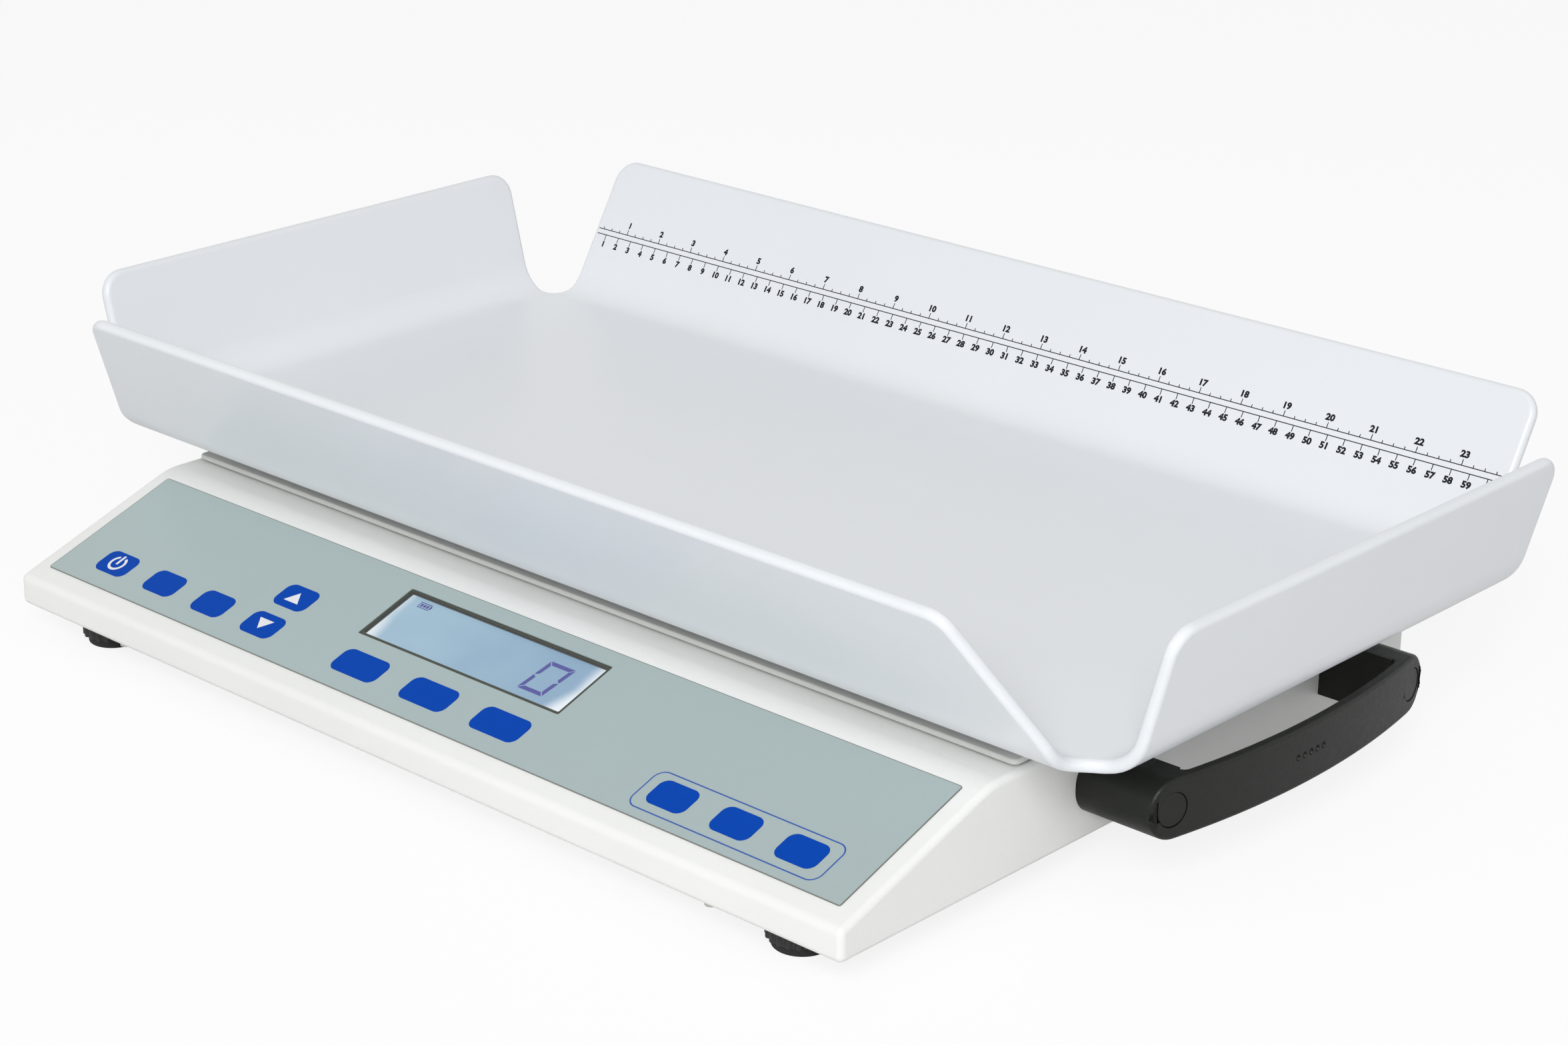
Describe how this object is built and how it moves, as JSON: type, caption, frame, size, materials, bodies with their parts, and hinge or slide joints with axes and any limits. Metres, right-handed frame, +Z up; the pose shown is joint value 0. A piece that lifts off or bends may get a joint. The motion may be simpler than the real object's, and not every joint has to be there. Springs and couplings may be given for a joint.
{
  "type": "digital baby weighing scale",
  "caption": "Low sheet-metal base with a sloping keypad console, bridge handles and levelling feet, carrying a wide white open tray with flared, notched sides.",
  "frame": {"origin": "middle of the underside of the whole scale, on the surface it stands on", "axes": "+X to the right seen from the console, +Y from the console to the back, +Z up"},
  "size_m": [0.698, 0.457, 0.1499],
  "materials": {
    "housing_coat": "fine pebbled off-white powder coat",
    "platform_coat": "fine pebbled off-white powder coat",
    "tray_white": "glossy white formed plastic sheet",
    "label_grey": "satin printed overlay",
    "key_blue": "satin deep blue",
    "window_clear": "clear window",
    "display_pane": "pale blue backlit display",
    "light_white": "lit light guide",
    "black_plastic": "fine textured black",
    "grip_black": "fine grained black moulding",
    "rubber_black": "matt rubber",
    "zinc_steel": "zinc plated",
    "cell_aluminium": "milled",
    "board_green": "circuit board",
    "battery_skin": "printed sleeve",
    "brass_bush": "turned"
  },
  "bodies": {
    "base": {"base_plate": "zinc_steel", "batteries": "battery_skin", "battery_bay": "black_plastic", "board": "board_green", "board_posts": "black_plastic", "board_screws": "zinc_steel", "caps_left": "black_plastic", "caps_right": "black_plastic", "cell_screws": "zinc_steel", "cell_spacer_fixed": "zinc_steel", "cross_member": "zinc_steel", "display_frame": "black_plastic", "display_glass": "display_pane", "door_rails": "black_plastic", "foot_bushes": "brass_bush", "handle_bolts": "zinc_steel", "handle_left": "grip_black", "handle_nuts": "zinc_steel", "handle_right": "grip_black", "housing": "housing_coat", "housing_screws": "zinc_steel", "key_switches": "black_plastic", "label": "label_grey", "light_guide": "light_white", "load_cell": "cell_aluminium", "overload_stops": "zinc_steel", "power_socket": "black_plastic", "window": "window_clear"},
    "platform": {"platform_plate": "platform_coat", "platform_frame": "zinc_steel", "platform_posts": "zinc_steel", "cell_spacer_moving": "zinc_steel", "tray_pads": "rubber_black"},
    "tray": {"tray": "tray_white", "tray_cups": "tray_white"},
    "key_power": {"key_power": "key_blue"},
    "key_unit": {"key_unit": "key_blue"},
    "key_enter": {"key_enter": "key_blue"},
    "key_down": {"key_down": "key_blue"},
    "key_up": {"key_up": "key_blue"},
    "key_tare": {"key_tare": "key_blue"},
    "key_clear": {"key_clear": "key_blue"},
    "key_hold": {"key_hold": "key_blue"},
    "key_before": {"key_before": "key_blue"},
    "key_after": {"key_after": "key_blue"},
    "key_amount": {"key_amount": "key_blue"},
    "sole_fl": {"foot_sole_fl": "rubber_black"},
    "knob_fl": {"foot_knob_fl": "black_plastic"},
    "sole_fr": {"foot_sole_fr": "rubber_black"},
    "knob_fr": {"foot_knob_fr": "black_plastic"},
    "sole_bl": {"foot_sole_bl": "rubber_black"},
    "knob_bl": {"foot_knob_bl": "black_plastic"},
    "sole_br": {"foot_sole_br": "rubber_black"},
    "knob_br": {"foot_knob_br": "black_plastic"},
    "battery_door": {"battery_door": "black_plastic"}
  },
  "joints": [
    {"name": "platform_sink", "type": "slide", "parent": "base", "child": "platform", "axis": [0, 0, -1], "range_m": [0, 0.0004], "stiffness_N_per_m": 200000, "springref_m": -0.0003},
    {"name": "tray_lift", "type": "slide", "parent": "platform", "child": "tray", "axis": [0, 0, 1], "range_m": [0, 0.1]},
    {"name": "press_power", "type": "slide", "parent": "base", "child": "key_power", "axis": [0, 0.3339, -0.9426], "range_m": [0, 0.00035], "stiffness_N_per_m": 3000, "springref_m": -0.0002},
    {"name": "press_unit", "type": "slide", "parent": "base", "child": "key_unit", "axis": [0, 0.3339, -0.9426], "range_m": [0, 0.00035], "stiffness_N_per_m": 3000, "springref_m": -0.0002},
    {"name": "press_enter", "type": "slide", "parent": "base", "child": "key_enter", "axis": [0, 0.3339, -0.9426], "range_m": [0, 0.00035], "stiffness_N_per_m": 3000, "springref_m": -0.0002},
    {"name": "press_down", "type": "slide", "parent": "base", "child": "key_down", "axis": [0, 0.3339, -0.9426], "range_m": [0, 0.00035], "stiffness_N_per_m": 3000, "springref_m": -0.0002},
    {"name": "press_up", "type": "slide", "parent": "base", "child": "key_up", "axis": [0, 0.3339, -0.9426], "range_m": [0, 0.00035], "stiffness_N_per_m": 3000, "springref_m": -0.0002},
    {"name": "press_tare", "type": "slide", "parent": "base", "child": "key_tare", "axis": [0, 0.3339, -0.9426], "range_m": [0, 0.00035], "stiffness_N_per_m": 3000, "springref_m": -0.0002},
    {"name": "press_clear", "type": "slide", "parent": "base", "child": "key_clear", "axis": [0, 0.3339, -0.9426], "range_m": [0, 0.00035], "stiffness_N_per_m": 3000, "springref_m": -0.0002},
    {"name": "press_hold", "type": "slide", "parent": "base", "child": "key_hold", "axis": [0, 0.3339, -0.9426], "range_m": [0, 0.00035], "stiffness_N_per_m": 3000, "springref_m": -0.0002},
    {"name": "press_before", "type": "slide", "parent": "base", "child": "key_before", "axis": [0, 0.3339, -0.9426], "range_m": [0, 0.00035], "stiffness_N_per_m": 3000, "springref_m": -0.0002},
    {"name": "press_after", "type": "slide", "parent": "base", "child": "key_after", "axis": [0, 0.3339, -0.9426], "range_m": [0, 0.00035], "stiffness_N_per_m": 3000, "springref_m": -0.0002},
    {"name": "press_amount", "type": "slide", "parent": "base", "child": "key_amount", "axis": [0, 0.3339, -0.9426], "range_m": [0, 0.00035], "stiffness_N_per_m": 3000, "springref_m": -0.0002},
    {"name": "foot_screw_fl", "type": "slide", "parent": "base", "child": "sole_fl", "axis": [0, 0, -1], "range_m": [0, 0.006]},
    {"name": "knob_turn_fl", "type": "hinge", "parent": "sole_fl", "child": "knob_fl", "pos_m": [-0.231, -0.20455, 0.004], "axis": [0, 0, -1], "range_deg": [0, 1728]},
    {"name": "foot_screw_fr", "type": "slide", "parent": "base", "child": "sole_fr", "axis": [0, 0, -1], "range_m": [0, 0.006]},
    {"name": "knob_turn_fr", "type": "hinge", "parent": "sole_fr", "child": "knob_fr", "pos_m": [0.231, -0.20455, 0.004], "axis": [0, 0, -1], "range_deg": [0, 1728]},
    {"name": "foot_screw_bl", "type": "slide", "parent": "base", "child": "sole_bl", "axis": [0, 0, -1], "range_m": [0, 0.006]},
    {"name": "knob_turn_bl", "type": "hinge", "parent": "sole_bl", "child": "knob_bl", "pos_m": [-0.231, 0.14845, 0.004], "axis": [0, 0, -1], "range_deg": [0, 1728]},
    {"name": "foot_screw_br", "type": "slide", "parent": "base", "child": "sole_br", "axis": [0, 0, -1], "range_m": [0, 0.006]},
    {"name": "knob_turn_br", "type": "hinge", "parent": "sole_br", "child": "knob_br", "pos_m": [0.231, 0.14845, 0.004], "axis": [0, 0, -1], "range_deg": [0, 1728]},
    {"name": "door_slide", "type": "slide", "parent": "base", "child": "battery_door", "axis": [-1, 0, 0], "range_m": [0, 0.06]}
  ],
  "couplings": [
    {"joint": "foot_screw_fl", "follows": "knob_turn_fl", "m_per_rad": 0.00019894},
    {"joint": "foot_screw_fr", "follows": "knob_turn_fr", "m_per_rad": 0.00019894},
    {"joint": "foot_screw_bl", "follows": "knob_turn_bl", "m_per_rad": 0.00019894},
    {"joint": "foot_screw_br", "follows": "knob_turn_br", "m_per_rad": 0.00019894}
  ]
}
